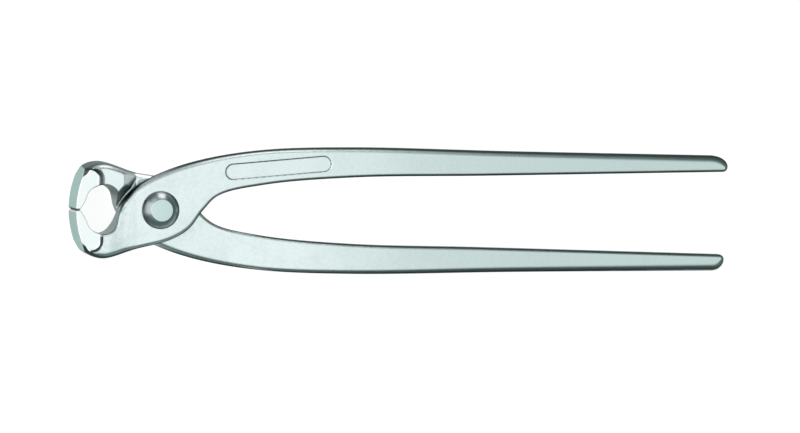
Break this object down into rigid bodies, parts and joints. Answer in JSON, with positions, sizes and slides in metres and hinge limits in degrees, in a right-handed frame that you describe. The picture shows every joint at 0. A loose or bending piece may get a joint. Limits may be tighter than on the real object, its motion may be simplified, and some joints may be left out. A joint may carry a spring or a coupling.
{
  "type": "rebar tying pliers",
  "caption": "End-cutting pliers for twisting and cutting tie wire: forged plated steel levers crossed in a lap joint on a flat-headed rivet, with broad ground jaws round a wire opening.",
  "frame": {"origin": "centre of the rivet's rear flat face, on the pivot axis", "axes": "+X from the rivet towards the handle ends, +Y towards the front lever's handle, +Z along the rivet towards its front head"},
  "size_m": [0.25, 0.0476, 0.0186],
  "materials": {
    "plated_steel": "forged steel, bright plated, satin with ground jaw faces",
    "rivet_steel": "bright plated rivet with a formed head"
  },
  "bodies": {
    "front_half": {"front_lever": "plated_steel", "pivot_rivet": "rivet_steel"},
    "rear_half": {"rear_lever": "plated_steel"}
  },
  "joints": [
    {"name": "jaw_pivot", "type": "hinge", "parent": "front_half", "child": "rear_half", "pos_m": [0, 0, 0.0093], "axis": [0, 0, -1], "range_deg": [0, 36]}
  ]
}
